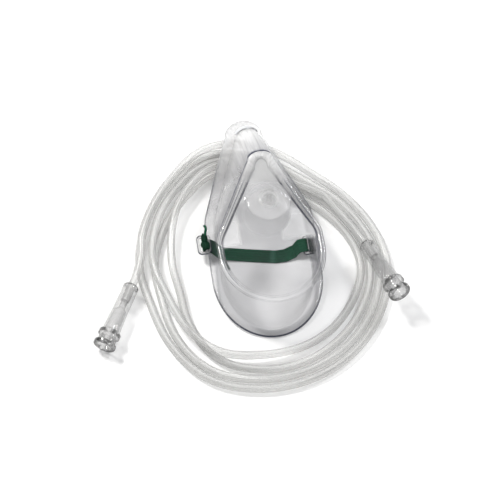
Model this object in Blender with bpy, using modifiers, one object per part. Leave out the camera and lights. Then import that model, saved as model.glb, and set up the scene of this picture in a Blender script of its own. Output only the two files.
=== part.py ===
"""Adult oxygen face mask lying rim down in its loosely coiled supply tubing.

Metres, +Z up. The nose end of the mask points to +Y and the chin end to -Y.
The mask is laid out in its own frame: its chin is at the origin, +Y runs to the nose
along the middle of the rim, and an empty places that frame on the table.
"""

from math import atan2, cos, hypot, pi, radians, sin, sqrt

import bmesh
import bpy
from mathutils import Matrix, Vector

# The mask on the table
mask_place = (0.01195, -0.08402, -0.00017)
mask_turn = radians(8.4)
lean = 0.12
rim_bow = 0.0015
nose_sweep = 0.0031
rim_slope = 0.1082
clearance = 0.0003

# Rim outline
mask_length = 0.170
mask_width = 0.0774
chin_reach = 0.046
taper_start = 0.088
nose_half_width = 0.0130
nose_round = 0.0110
taper_knee = 0.15

# Shield outline, set in from the rim's, and its height over the chin and at its apex
shield_chin_gap = 0.0085
shield_nose_gap = 0.0490
shield_side_gap = 0.0009
shield_chin_reach = 0.040
shield_taper_start = 0.058
shield_nose_half_width = 0.0095
shield_nose_round = 0.0060
shield_height = 0.036
apex_height = 0.054
apex_curve = 1.2

# Clear shell
shell_wall = 0.0012
shell_columns = 72
flange_width = 0.0055
rim_lip = 0.0008
rim_lip_width = 0.0014
wall_knee = 0.18
wall_knee_climb = 0.72
wall_steps = 7
bead_width = 0.0046
bead_height = 0.0014
bead_steps = 4
panel_drop = 0.0006
panel_steps = 4

# Round snout, as far up the shield as its margin allows, with the port in its flat end
snout_margin = 0.0048
snout_radius = 0.0158
snout_draft = 0.0008
snout_height = 0.0570
snout_fillet = 0.0014
port_radius = 0.0050

# Vent holes in the two cheeks
vent_count = 8
vent_radius = 0.0016
vent_ring_radius = 0.0095
vent_angle = radians(107.0)
vent_climb = 0.46
vent_cut = 0.012
vent_sides = 16

# Ears for the strap, by side: where on the rim, how long, and how far folded in under the rim
ear_stations = {1: 0.0672, -1: 0.0765}
ear_reaches = {1: 0.0085, -1: 0.0092}
ear_folds = {1: radians(163.0), -1: 0.0}
ear_length = 0.0150
ear_corner = 0.0030
ear_root = 0.0018
ear_wall = 0.0016
slot_width = 0.0034
slot_rim = 0.0022

# Nose clip
clip_setback = 0.0180
clip_width = 0.0050
clip_wall = 0.0007
clip_spread = radians(22.0)
clip_gap = 0.00045
clip_steps = 20

# Port adapter
adapter_flange_radius = 0.0078
adapter_flange = 0.0016
adapter_hub_radius = 0.0055
adapter_hub_height = 0.0045
adapter_tip_radius = 0.0034
adapter_tip_chamfer = 0.0005
adapter_barb = 0.0045
adapter_height = 0.0130
adapter_bore_radius = 0.0020
adapter_tail = 0.0050

# Elastic strap. Its low run is given as shares of the half width, stations and lifts.
strap_width = 0.0104
strap_wall = 0.0008
strap_drop = 0.0060
strap_lows = ((-0.7235, 0.0715, 0.0008), (-0.31, 0.0682, 0.0), (0.00, 0.0657, 0.0), (0.23, 0.0640, 0.0),
              (0.405, 0.0640, 0.0003), (0.57, 0.0659, 0.0013))
strap_corners = 3

# The knot's two lumps, the thick loose end above it and the thread by it, in metres
knot_size = (0.0066, 0.0078, 0.0034)
knot_place = (-0.0020, 0.0016)
knot_turn = radians(17.0)
second_knot_size = (0.0044, 0.0080, 0.0031)
second_knot_place = (-0.0018, -0.0038)
second_knot_turn = radians(6.0)
loose_end = ((0.0, 0.0, 0.0), (0.0012, 0.0040, 0.0010), (0.0020, 0.0072, 0.0012), (0.0014, 0.0100, 0.0008))
loose_end_width = 0.0018
loose_end_wall = 0.0014
thread = ((0.0, 0.0, 0.0), (-0.0002, -0.0040, -0.0002), (0.0008, -0.0085, -0.0006),
          (0.0022, -0.0130, -0.0006))
thread_width = 0.0015
thread_wall = 0.0007

# Tubing. The reach is from the coil's middle to the outermost turn, clockwise from the left.
tube_radius = 0.0029
table_gap = 0.00005
coil_centre = (0.00246, -0.02757)
coil_reach = (0.0891, 0.0916, 0.0971, 0.1046, 0.0955, 0.0841, 0.0826, 0.0846,
              0.0886, 0.0906, 0.0936, 0.0966, 0.0986, 0.0991, 0.0921, 0.0866)
points_a_turn = 28
turns_to_lead = 4.36
lead_run = 0.0100

# Funnel connectors
connector_length = 0.0515
connector_body_radius = 0.0056
connector_collar_radius = 0.0079
connector_mouth_radius = 0.0081
connector_socket_radius = 0.0054
connector_collar_at = 0.0400
connector_throat_radius = 0.0024
connector_throat = 0.0060
connector_lip = 0.0026
connector_waist = 0.0016
connector_chamfer = 0.0008
tube_insert = 0.0130
turned_steps = 28


class Outline:
    """Pear outline round the mask's centre line: a round chin, straight tapered sides, a round nose."""

    def __init__(self, start, end, half_width, chin_reach, taper_start, nose_half_width, nose_round):
        self.start = start
        self.end = end
        self.half_width = half_width
        self.chin_reach = chin_reach
        self.taper_start = taper_start
        self.nose_half_width = nose_half_width
        self.nose_round = nose_round

    def inset(self, amount):
        return Outline(self.start + amount, self.end - amount, self.half_width - amount,
                       self.chin_reach - amount * 0.5, self.taper_start,
                       max(self.nose_half_width - amount, 0.001), self.nose_round)

    def width_at(self, y):
        nose_start = self.end - self.nose_round
        share = clamp((y - self.taper_start) / (nose_start - self.taper_start))
        knee = taper_knee
        eased = share * share / (2.0 * knee) if share < knee else share - knee / 2.0
        eased /= 1.0 - knee / 2.0
        width = self.half_width + (self.nose_half_width - self.half_width) * eased
        along_chin = clamp((y - self.start) / self.chin_reach)
        width *= sqrt(1.0 - (1.0 - along_chin) ** 2)
        along_nose = clamp((y - nose_start) / self.nose_round)
        return width * sqrt(1.0 - along_nose ** 2)

    def point(self, angle):
        """Point at an angle from the chin: 0 at the chin, pi at the nose."""
        y = self.start + (self.end - self.start) * (1.0 - cos(angle)) / 2.0
        side = 1.0 if angle <= pi else -1.0
        return side * self.width_at(y), y


def clamp(value):
    return min(max(value, 0.0), 1.0)


rim = Outline(0.0, mask_length, mask_width / 2.0, chin_reach, taper_start, nose_half_width, nose_round)
shield = Outline(shield_chin_gap, mask_length - shield_nose_gap, mask_width / 2.0 - shield_side_gap,
                 shield_chin_reach, shield_taper_start, shield_nose_half_width, shield_nose_round)
panel = shield.inset(bead_width + panel_drop)


def snout_station():
    """Station nearest the nose where the panel still leaves the snout its margin at both sides."""
    needed = snout_radius + snout_draft + snout_fillet + snout_margin
    low, high = panel.start, panel.end
    for _ in range(30):
        middle = (low + high) / 2.0
        if middle < panel.taper_start or panel.width_at(middle) > needed:
            low = middle
        else:
            high = middle
    return low


snout_centre = snout_station()


def rim_height(y):
    return shell_wall + rim_slope * max(y, 0.0)


def swept(y):
    """How far the soft rim swings to -X on its way to the nose."""
    share = clamp((y - rim.taper_start) / (rim.end - rim.nose_round - rim.taper_start))
    return nose_sweep * share * share * (3.0 - 2.0 * share)


def shield_top(y):
    """Height of the shield, flat over the chin and climbing to its apex."""
    along = clamp((y - shield.taper_start) / (shield.end - shield.taper_start))
    return shield_height + (apex_height - shield_height) * along ** apex_curve


def leaned(x, y, z):
    """Place in the soft shell: the middle of the rim bows to -X and the top leans to +X."""
    bow = rim_bow * sin(pi * clamp(y / rim.end))
    return Vector((x - bow + lean * z, y, z))


def flange_point(angle, inset, lift=0.0):
    x, y = rim.inset(inset).point(angle)
    return leaned(x - swept(y), y, rim_height(y) + lift)


def shield_point(angle, inset, lift=0.0):
    x, y = shield.inset(inset).point(angle)
    return leaned(x, y, shield_top(y) + lift)


def wall_point(angle, climb):
    """Point on the cheek and chin wall, from the flange (0) to the shield's bead (1)."""
    foot = flange_point(angle, flange_width)
    head = shield_point(angle, 0.0)
    knee = foot.lerp(head, wall_knee)
    knee.z = foot.z + (head.z - foot.z) * wall_knee_climb
    return foot.lerp(knee, climb).lerp(knee.lerp(head, climb), climb)


def snout_point(angle, radius, height=None):
    """Point on the snout, on the line from its axis out to the shield's edge at an angle."""
    x, y = panel.point(angle)
    reach = hypot(x, y - snout_centre)
    x *= radius / reach
    y = snout_centre + (y - snout_centre) * radius / reach
    return leaned(x, y, shield_top(y) if height is None else height)


def wall_normal(angle, climb):
    step = 0.01
    along = wall_point(angle + step, climb) - wall_point(angle - step, climb)
    up = wall_point(angle, climb + step) - wall_point(angle, climb - step)
    return along.cross(up).normalized()


def shell_ring(angle):
    """One column of the shell, from the rim's lip in to the port."""
    column = [flange_point(angle, 0.0, rim_lip), flange_point(angle, rim_lip_width)]
    column += [wall_point(angle, step / wall_steps) for step in range(wall_steps)]
    for step in range(bead_steps + 1):
        turn = pi * step / bead_steps
        column.append(shield_point(angle, bead_width * (1.0 - cos(turn)) / 2.0, bead_height * sin(turn)))
    edge = shield_point(angle, bead_width + panel_drop, -panel_drop)
    foot = snout_point(angle, snout_radius + snout_draft + snout_fillet)
    column += [edge.lerp(foot, step / panel_steps) for step in range(panel_steps + 1)]
    column.append(snout_point(angle, snout_radius + snout_draft) + Vector((0.0, 0.0, snout_fillet)))
    column.append(snout_point(angle, snout_radius, snout_height - snout_fillet))
    column.append(snout_point(angle, snout_radius - snout_fillet * 0.35, snout_height - snout_fillet * 0.35))
    column.append(snout_point(angle, snout_radius - snout_fillet, snout_height))
    column.append(snout_point(angle, port_radius, snout_height))
    return column


def material(name, colour, roughness, metallic=0.0, alpha=1.0):
    made = bpy.data.materials.new(name)
    made.use_nodes = True
    shader = made.node_tree.nodes["Principled BSDF"]
    shader.inputs["Base Color"].default_value = (*colour, 1.0)
    shader.inputs["Roughness"].default_value = roughness
    shader.inputs["Metallic"].default_value = metallic
    shader.inputs["Alpha"].default_value = alpha
    made.diffuse_color = (*colour, 1.0)
    return made


def mesh_object(name, work, finish, collection, parent=None):
    """Turn a bmesh into a named object in a collection."""
    mesh = bpy.data.meshes.new(name)
    work.to_mesh(mesh)
    work.free()
    if finish:
        mesh.materials.append(finish)
        mesh.shade_smooth()
        mesh.set_sharp_from_angle(angle=radians(35.0))
    made = bpy.data.objects.new(name, mesh)
    made.parent = parent
    collection.objects.link(made)
    return made


def cutter(name, work, cutters, parent=None):
    made = mesh_object(name, work, None, cutters, parent)
    made.hide_render = True
    made.display_type = "WIRE"
    return made


def loft(rings, closed):
    """Faces between neighbouring rings of equal length, with the ends capped unless it is an open sheet."""
    work = bmesh.new()
    rows = [[work.verts.new(point) for point in ring] for ring in rings]
    for lower, upper in zip(rows, rows[1:]):
        for here in range(len(lower)):
            after = (here + 1) % len(lower)
            work.faces.new((lower[here], lower[after], upper[after], upper[here]))
    if closed:
        work.faces.new(list(reversed(rows[0])))
        work.faces.new(rows[-1])
    return work


def cylinder(radius, length, centre, axis, sides):
    work = bmesh.new()
    turn = Vector((0.0, 0.0, 1.0)).rotation_difference(axis).to_matrix().to_4x4()
    bmesh.ops.create_cone(work, cap_ends=True, segments=sides, radius1=radius, radius2=radius,
                          depth=length, matrix=Matrix.Translation(centre) @ turn)
    return work


def boolean(made, name, operation, other):
    step = made.modifiers.new(name, "BOOLEAN")
    step.operation = operation
    if isinstance(other, bpy.types.Collection):
        step.operand_type = "COLLECTION"
        step.collection = other
    else:
        step.object = other
    step.solver = "EXACT"


def rounded_plate(length, width, corner, height, sides=5):
    """Plate with round corners about the origin, lying in XY from z 0 up."""
    points = []
    for quarter, (sign_x, sign_y) in enumerate(((1, 1), (-1, 1), (-1, -1), (1, -1))):
        centre = Vector((sign_x * (length / 2 - corner), sign_y * (width / 2 - corner), 0.0))
        for step in range(sides + 1):
            turn = (quarter + step / sides) * pi / 2.0
            points.append(centre + corner * Vector((cos(turn), sin(turn), 0.0)))
    top = Vector((0.0, 0.0, height))
    return loft([points, [point + top for point in points]], True)


def ear_frame(side):
    """Where an ear starts on the rim: +X runs along it, out or folded in, and its underside is at z 0."""
    station, fold = ear_stations[side], ear_folds[side]
    rise = rim_height(station + 0.001) - rim_height(station - 0.001)
    root = leaned(side * (rim.width_at(station) - ear_root), station,
                  rim_height(station) - shell_wall * (0.7 + 0.2 * cos(fold)))
    facing = 0.0 if side > 0 else pi
    return (Matrix.Translation(root) @ Matrix.Rotation(atan2(rise, 0.002), 4, "X")
            @ Matrix.Rotation(facing, 4, "Z") @ Matrix.Rotation(fold, 4, "Y"))


def slot_middle(side):
    return ear_reaches[side] - slot_rim - slot_width / 2.0


def make_shell(parts, cutters, place, finish):
    columns = [shell_ring(2.0 * pi * step / shell_columns) for step in range(shell_columns)]
    work = loft(list(zip(*columns)), False)
    shell = mesh_object("mask_shell", work, finish, parts, place)
    wall = shell.modifiers.new("wall", "SOLIDIFY")
    wall.thickness = shell_wall
    wall.offset = -1.0
    holes = bpy.data.collections.new("shell_holes")
    cutters.children.link(holes)
    for side in (1, -1):
        reach = ear_reaches[side]
        ear = rounded_plate(reach + ear_root / 2.0, ear_length, ear_corner, ear_wall)
        ear.transform(ear_frame(side) @ Matrix.Translation((reach / 2.0 - ear_root / 4.0, 0.0, 0.0)))
        plate = cutter("ear_plate", ear, cutters, place)
        boolean(shell, "ear", "UNION", plate)
        slot = rounded_plate(slot_width, strap_width + 2.0 * clearance, slot_width * 0.3, 3.0 * ear_wall)
        slot.transform(ear_frame(side) @ Matrix.Translation((slot_middle(side), 0.0, -ear_wall)))
        cutter("ear_slot", slot, holes, place)
    for side in (1, -1):
        angle = vent_angle * side
        centre = wall_point(angle % (2.0 * pi), vent_climb)
        outward = wall_normal(angle % (2.0 * pi), vent_climb)
        across = outward.cross(Vector((0.0, 1.0, 0.0))).normalized()
        along = outward.cross(across)
        for step in range(vent_count):
            turn = 2.0 * pi * step / vent_count
            middle = centre + vent_ring_radius * (across * cos(turn) + along * sin(turn))
            cutter("vent", cylinder(vent_radius, vent_cut, middle, outward, vent_sides), holes, place)
    boolean(shell, "holes", "DIFFERENCE", holes)
    return shell


def make_nose_clip(parts, place, finish):
    """Strip bent over the nose, laid on the shell's own surface."""
    angles = [pi + clip_spread - 2.0 * clip_spread * step / clip_steps for step in range(clip_steps + 1)]
    work = loft([clip_section(angle) for angle in angles], True)
    return mesh_object("nose_clip", work, finish, parts, place)


def clip_section(angle):
    """Cross-section of the strip at an angle round the nose, two rows along the climb."""
    ring = []
    for lift, order in ((clip_gap, (-1.0, 0.0, 1.0)), (clip_gap + clip_wall, (1.0, 0.0, -1.0))):
        for share in order:
            climb = climb_at(angle, rim.end - clip_setback + share * clip_width / 2.0)
            outward = wall_normal(angle, climb)
            ring.append(wall_point(angle, climb) + outward * lift)
    return ring


def climb_at(angle, y):
    """Climb on the wall at which a column passes a station along the mask."""
    low, high = 0.0, 1.0
    for _ in range(30):
        middle = (low + high) / 2.0
        if wall_point(angle, middle).y > y:
            low = middle
        else:
            high = middle
    return low


def turned(name, profile, finish, parts, parent=None):
    """Body of revolution about Z from a closed profile of (radius, height) corners."""
    work = bmesh.new()
    corners = [work.verts.new((radius, 0.0, height)) for radius, height in profile]
    for here, after in zip(corners, corners[1:] + corners[:1]):
        work.edges.new((here, after))
    made = mesh_object(name, work, finish, parts, parent)
    spin = made.modifiers.new("turn", "SCREW")
    spin.steps = turned_steps
    spin.render_steps = turned_steps
    spin.use_merge_vertices = True
    spin.merge_threshold = 0.00001
    return made


def make_adapter(parts, place, finish):
    """Turned nipple, pushed down through the port until its flange seats on the snout."""
    seat = snout_height + clearance
    top = seat + adapter_height
    neck = port_radius - clearance
    profile = [
        (adapter_bore_radius, top),
        (adapter_tip_radius - adapter_tip_chamfer, top),
        (adapter_tip_radius, top - 2.0 * adapter_tip_chamfer),
        (adapter_tip_radius - adapter_tip_chamfer, top - adapter_barb),
        (adapter_hub_radius, seat + adapter_hub_height),
        (adapter_hub_radius, seat + adapter_flange + adapter_tip_chamfer),
        (adapter_flange_radius, seat + adapter_flange),
        (adapter_flange_radius, seat),
        (neck, seat),
        (neck, seat - adapter_tail),
        (adapter_bore_radius, seat - adapter_tail),
    ]
    made = turned("port_adapter", profile, finish, parts, place)
    made.location = leaned(0.0, snout_centre, snout_height) - Vector((0.0, 0.0, snout_height))
    return made


def low_point(share, station, lift):
    """Place on the strap's low run, by its share of the half width, its station and its lift."""
    return Vector((share * rim.half_width, station, strap_wall / 2.0 + clearance + lift))


def strap_route():
    """Middle line of the elastic and the way its width lies, from the left ear to the folded right one."""
    lift = strap_wall / 2.0 + clearance
    under = ear_wall + lift
    left, right = ear_frame(-1), ear_frame(1)
    out, back = slot_middle(-1), slot_middle(1)
    start = [left @ Vector(place) for place in (
        (out, 0.0, 2.0 * ear_wall), (out, 0.0, ear_wall / 2.0), (out - slot_width * 0.4, 0.0, -ear_wall),
        (out - strap_drop, 0.0, -2.0 * ear_wall + clearance))]
    middle = [low_point(*place) for place in strap_lows]
    end = [right @ Vector(place) for place in (
        (ear_reaches[1] + slot_rim, 0.0, -lift - clearance),
        (back + slot_width / 2.0, 0.0, -lift - clearance), (back, 0.0, ear_wall / 2.0),
        (back - slot_width / 2.0, 0.0, under + clearance), (2.0 * clearance, 0.0, under))]
    sides = [-left.col[1].to_3d()] * len(start) + [Vector((0.0, 1.0, 0.0))] * len(middle)
    return start + middle + end, sides + [right.col[1].to_3d()] * len(end)


def eased(before, here, after, beyond, t):
    """Catmull-Rom blend from one value to the next, for numbers or vectors."""
    curve = 2.0 * before - 5.0 * here + 4.0 * after - beyond
    twist = 3.0 * here - before - 3.0 * after + beyond
    return 0.5 * (2.0 * here + (after - before) * t + curve * t * t + twist * t ** 3)


def spline(points, steps):
    """Smooth curve through points, with a number of steps to each stretch."""
    ends = [points[0] * 2.0 - points[1]] + list(points) + [points[-1] * 2.0 - points[-2]]
    route = []
    for near in zip(ends, ends[1:], ends[2:], ends[3:]):
        route += [eased(*near, step / steps) for step in range(steps)]
    return route + [points[-1]]


def ribbon(route, sides, width, wall):
    """Flat band along a route, its width as near to the given directions as the route allows."""
    rings = []
    for here, middle in enumerate(route):
        ahead = (route[min(here + 1, len(route) - 1)] - route[max(here - 1, 0)]).normalized()
        side = (sides[here] - ahead * sides[here].dot(ahead)).normalized()
        normal = side.cross(ahead) * wall / 2.0
        side *= width / 2.0
        rings.append([middle + side - normal, middle - side - normal,
                      middle - side + normal, middle + side + normal])
    return loft(rings, True)


def thin_end(points, width, wall):
    route = spline(points, 2)
    return ribbon(route, [Vector((1.0, 0.0, 0.0))] * len(route), width, wall)


def lump(centre, size, turn):
    """Rounded lump of knotted elastic."""
    work = bmesh.new()
    bmesh.ops.create_uvsphere(work, u_segments=14, v_segments=8, radius=0.5, matrix=Matrix.Translation(centre)
                              @ Matrix.Rotation(turn, 4, "Z") @ Matrix.Diagonal((*size, 1.0)))
    return work


def make_strap(parts, cutters, place, finish):
    """Elastic band with a knot on the left ear, a loose end over it and a thread under the shell."""
    route, sides = strap_route()
    band = ribbon(spline(route, strap_corners), spline(sides, strap_corners), strap_width, strap_wall)
    strap = mesh_object("head_strap", band, finish, parts, place)
    knots = bpy.data.collections.new("strap_knots")
    cutters.children.link(knots)
    left, out = ear_frame(-1), slot_middle(-1)
    on_ear = ear_wall + clearance + knot_size[2] / 2.0
    knot = left @ Vector((out + knot_place[0], knot_place[1], on_ear))
    second = left @ Vector((out + second_knot_place[0], second_knot_place[1], on_ear + clearance))
    cutter("knot", lump(knot, knot_size, knot_turn), knots, place)
    cutter("knot", lump(second, second_knot_size, second_knot_turn), knots, place)
    end = [second + Vector(step) for step in loose_end]
    cutter("loose_end", thin_end(end, loose_end_width, loose_end_wall), knots, place)
    fallen = [low_point(*strap_lows[0]) + Vector(step) for step in thread]
    cutter("thread", thin_end(fallen, thread_width, thread_wall), knots, place)
    boolean(strap, "knots", "UNION", knots)
    return strap


# Lanes of the coil, one row a turn and one entry each eighth of a turn, clockwise from the
# left: how far in from the outermost turn, and how far above the table layer, in millimetres.
coil_lanes = (
    ((0.0, 6.4), (1.0, 6.4), (0.0, 5.4), (0.0, 0.0), (0.0, 0.0), (0.0, 0.0), (0.0, 0.0), (0.0, 0.0)),
    ((0.0, 0.0), (0.0, 0.0), (7.0, 0.0), (6.8, 0.0), (6.5, 0.0), (6.6, 0.0), (7.4, 0.0), (6.6, 0.0)),
    ((11.2, 0.0), (16.5, 0.0), (21.5, 0.0), (20.5, 0.0), (19.4, 0.0), (23.5, 0.0), (24.0, 4.6), (15.5, 6.4)),
    ((9.9, 6.4), (7.0, 0.8), (14.0, 0.0), (13.3, 0.0), (12.9, 0.0), (14.0, 0.0), (14.8, 0.0), (19.8, 0.0)),
    ((23.5, 2.6), (16.5, 6.6), (19.0, 6.4), (11.0, 6.4), (7.0, 8.0)),
)


def coil_point(turns):
    """Middle of the tube after a number of turns, clockwise seen from above, from the left."""
    lanes = [Vector(lane) * 0.001 for row in coil_lanes for lane in row]
    place = turns * 8.0
    here = min(int(place), len(lanes) - 2)
    near = [lanes[min(max(here + step, 0), len(lanes) - 1)] for step in (-1, 0, 1, 2)]
    inward, lift = eased(*near, place - here)
    station = turns % 1.0 * len(coil_reach)
    near = [coil_reach[(int(station) + step) % len(coil_reach)] for step in (-1, 0, 1, 2)]
    reach = eased(*near, station - int(station)) - inward
    angle = pi - 2.0 * pi * turns
    return Vector((coil_centre[0] + reach * cos(angle), coil_centre[1] + reach * sin(angle),
                   tube_radius + table_gap + max(lift, 0.0)))


# Where each connector's tube end goes in, the way it points from there, and a point on the left lead
left_entry = Vector((-0.0913, -0.0480, 0.0086))
left_aim = Vector((-0.0191, -0.0508, -0.0002)).normalized()
right_entry = Vector((0.0754, -0.0162, 0.0125))
right_aim = Vector((0.0221, -0.0444, 0.0100)).normalized()
left_lead = Vector((-0.0853, -0.0243, 0.0092))


def tube_route():
    """Middle line of the tubing from the left connector through the coil to the right one."""
    coil = [coil_point(step / points_a_turn) for step in range(1, int(turns_to_lead * points_a_turn) + 1)]
    inside = tube_insert - clearance
    start = [left_entry + left_aim * inside, left_entry, left_entry - left_aim * lead_run * 0.8, left_lead]
    end = [right_entry - right_aim * lead_run, right_entry, right_entry + right_aim * inside]
    return start + coil + end


def make_tube(parts, finish):
    route = tube_route()
    curve = bpy.data.curves.new("oxygen_tube", "CURVE")
    curve.dimensions = "3D"
    curve.bevel_depth = tube_radius
    curve.bevel_resolution = 2
    curve.use_fill_caps = True
    line = curve.splines.new("POLY")
    line.points.add(len(route) - 1)
    for point, place in zip(line.points, route):
        point.co = (*place, 1.0)
    curve.materials.append(finish)
    made = bpy.data.objects.new("oxygen_tube", curve)
    parts.objects.link(made)
    return made


def make_connector(name, entry, aim, parts, finish):
    """Turned funnel: a bore for the tube behind, a tapered socket and two lips in front."""
    bore = tube_radius + clearance
    collar = connector_collar_at
    mouth = connector_length
    lip_foot = mouth - connector_lip - connector_chamfer
    profile = [
        (bore, 0.0),
        (bore, tube_insert),
        (connector_throat_radius, tube_insert + table_gap),
        (connector_throat_radius, tube_insert + connector_throat),
        (connector_socket_radius - connector_chamfer, tube_insert + connector_throat + connector_lip),
        (connector_socket_radius, mouth),
        (connector_mouth_radius - connector_chamfer, mouth),
        (connector_mouth_radius, mouth - connector_chamfer),
        (connector_mouth_radius, mouth - connector_lip),
        (connector_mouth_radius - connector_waist, lip_foot),
        (connector_mouth_radius - connector_waist, collar + connector_lip + connector_chamfer),
        (connector_collar_radius, collar + connector_lip),
        (connector_collar_radius, collar),
        (connector_body_radius + connector_chamfer, collar - connector_waist),
        (connector_body_radius, collar * 0.5),
        (connector_body_radius, connector_chamfer),
        (connector_body_radius - connector_chamfer, 0.0),
    ]
    made = turned(name, profile, finish, parts)
    made.location = entry
    made.rotation_euler = Vector((0.0, 0.0, 1.0)).rotation_difference(aim).to_euler()
    return made


def main():
    for old in list(bpy.data.objects):
        bpy.data.objects.remove(old, do_unlink=True)
    parts = bpy.data.collections.new("oxygen_face_mask")
    cutters = bpy.data.collections.new("cutters")
    for made in (parts, cutters):
        bpy.context.scene.collection.children.link(made)
    clear = material("clear_pvc", (0.86, 0.88, 0.90), 0.12, alpha=0.35)
    tubing = material("clear_tubing", (0.80, 0.82, 0.83), 0.15, alpha=0.6)
    aluminium = material("aluminium", (0.62, 0.63, 0.65), 0.35, metallic=1.0)
    elastic = material("green_elastic", (0.02, 0.16, 0.10), 0.85)
    place = bpy.data.objects.new("mask_frame", None)
    place.location = mask_place
    place.rotation_euler = (0.0, 0.0, mask_turn)
    parts.objects.link(place)
    make_shell(parts, cutters, place, clear)
    make_nose_clip(parts, place, aluminium)
    make_adapter(parts, place, clear)
    make_strap(parts, cutters, place, elastic)
    make_tube(parts, tubing)
    make_connector("tube_connector_left", left_entry, left_aim, parts, tubing)
    make_connector("tube_connector_right", right_entry, right_aim, parts, tubing)


main()
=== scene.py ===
from dataclasses import dataclass
from math import atan2, cos, hypot, pi, radians, sin, sqrt, tau

import bmesh
import bpy
from mathutils import Matrix, Vector


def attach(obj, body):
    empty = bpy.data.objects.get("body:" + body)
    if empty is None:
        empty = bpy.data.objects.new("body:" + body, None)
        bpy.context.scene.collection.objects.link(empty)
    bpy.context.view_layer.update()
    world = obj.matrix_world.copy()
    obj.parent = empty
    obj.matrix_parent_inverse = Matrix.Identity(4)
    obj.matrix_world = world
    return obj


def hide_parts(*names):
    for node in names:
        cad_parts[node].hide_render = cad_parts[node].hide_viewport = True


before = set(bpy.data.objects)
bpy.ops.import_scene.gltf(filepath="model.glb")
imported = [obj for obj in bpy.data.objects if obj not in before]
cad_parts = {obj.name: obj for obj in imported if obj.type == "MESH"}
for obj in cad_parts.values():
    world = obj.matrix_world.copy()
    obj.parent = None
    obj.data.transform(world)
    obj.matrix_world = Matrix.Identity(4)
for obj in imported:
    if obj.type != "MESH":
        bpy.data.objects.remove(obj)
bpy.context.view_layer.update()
scene = bpy.context.scene
upward = Vector((0.0, 0.0, 1.0))
print("frame loaded")


# camera and light

camera = {
    "target": Vector((-0.00744, -0.01347, 0.0)), "elevation": radians(60.0), "distance": 1.6, "lens": 160.0,
    "sensor": 36.0}

lamps = {  # place, size, watts, tint
    "softboxLeft": ((-0.75, 0.6, 1.2), 0.35, 20.5, (1.0, 0.99, 0.97)),
    "softboxRight": ((0.9, 0.8, 1.1), 0.35, 10.0, (0.97, 0.98, 1.0)),
    "softboxFront": ((0.25, -1.1, 1.3), 0.7, 7.8, (1.0, 1.0, 1.0)),
}

room = {
    "lampTarget": Vector((0.0, 0.0, 0.02)), "floor": (0.9, 0.9, 0.9), "floorGlow": 0.02,
    "floorSize": 6.0, "white": (0.41, 0.16, 1.0)}  # white: on surfaces, in the gloss, straight ahead


def aimAt(made, target):
    made.rotation_euler = (target - made.location).to_track_quat("-Z", "Y").to_euler()


def placed(name, data):
    made = bpy.data.objects.new(name, data)
    scene.collection.objects.link(made)
    return made


def placeCamera():
    lens = bpy.data.cameras.new("photoCamera")
    lens.lens = camera["lens"]
    lens.sensor_width = camera["sensor"]
    made = placed("photoCamera", lens)
    back = Vector((0.0, -cos(camera["elevation"]), sin(camera["elevation"])))
    made.location = camera["target"] + back * camera["distance"]
    aimAt(made, camera["target"])
    scene.camera = made


def placeLamps():
    for name, (place, size, watts, tint) in lamps.items():
        light = bpy.data.lights.new(name, "AREA")
        light.shape = "DISK"
        light.size = size
        light.energy = watts
        light.color = tint
        made = placed(name, light)
        made.location = place
        aimAt(made, room["lampTarget"])


# shader maths: a wrapped socket takes + - * and **, and Finish.add makes any other node

def maths(operation, swapped=False):
    def join(self, other):
        first, second = (other, self) if swapped else (self, other)
        return self.finish.add("Math", {0: first, 1: second}, operation=operation)

    return join


class Wire:
    __add__ = __radd__ = maths("ADD")
    __sub__ = maths("SUBTRACT")
    __rsub__ = maths("SUBTRACT", True)
    __mul__ = __rmul__ = maths("MULTIPLY")
    __pow__ = maths("POWER")

    def __init__(self, finish, socket):
        self.finish = finish
        self.socket = socket


class Finish:
    def __init__(self, owner):
        self.owner = owner
        owner.use_nodes = True
        self.tree = owner.node_tree
        self.tree.nodes.clear()

    def add(self, kind, sockets=None, output=0, **settings):
        made = self.tree.nodes.new("ShaderNode" + kind)
        for name, value in settings.items():
            setattr(made, name, value)
        for name, value in (sockets or {}).items():
            if isinstance(value, Wire):
                self.tree.links.new(value.socket, made.inputs[name])
            else:
                made.inputs[name].default_value = value
        return Wire(self, made.outputs[output])

    def colours(self, share, first, second):
        return self.add("Mix", {0: share, 6: first, 7: second}, 2, data_type="RGBA")

    def range(self, value, low, high):
        sockets = {"Value": value, "From Min": low, "From Max": high}
        return self.add("MapRange", sockets, interpolation_type="SMOOTHSTEP")

    def pulse(self, value, middle, half):
        # 1 at the middle, easing to 0 at half on both sides of it
        return self.range(self.add("Math", {0: value - middle}, operation="ABSOLUTE"), half, 0.0)

    def between(self, share, ends):
        first, second = ends
        return share * (second - first) + first

    def split(self, layer):
        both = self.add("UVMap", uv_map=layer)
        return [self.add("SeparateXYZ", {0: both}, axis) for axis in (0, 1)]

    def facing(self):
        # 0 where the surface faces the eye, 1 where it is seen edge on
        return self.add("LayerWeight", {"Blend": 0.5}, 1)

    def ownPlace(self):
        return self.add("TexCoord", output="Object")  # in the piece's own metres

    def ray(self, kind):
        return self.add("LightPath", output=kind)

    def noise(self, place, scale, detail, distortion=0.0):
        sockets = {"Vector": place, "Scale": scale, "Detail": detail, "Distortion": distortion}
        return self.add("TexNoise", sockets)

    def bump(self, height, strength, depth):
        return self.add("Bump", {"Strength": strength, "Distance": depth, "Height": height})

    def shaders(self, share, first, second):
        return self.add("MixShader", {0: share, 1: first, 2: second})

    def over(self, share, body, film):
        # the body covers its share of what is seen through the film
        return self.shaders(share, self.add("BsdfTransparent", {"Color": film}), body)

    def body(self, colour, roughness, more=None):
        return self.add("BsdfPrincipled", {"Base Color": colour, "Roughness": roughness, **(more or {})})

    def close(self, surface, output="OutputMaterial"):
        out = self.tree.nodes.new("ShaderNode" + output)
        self.tree.links.new(surface.socket, out.inputs["Surface"])
        return self.owner


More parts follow.
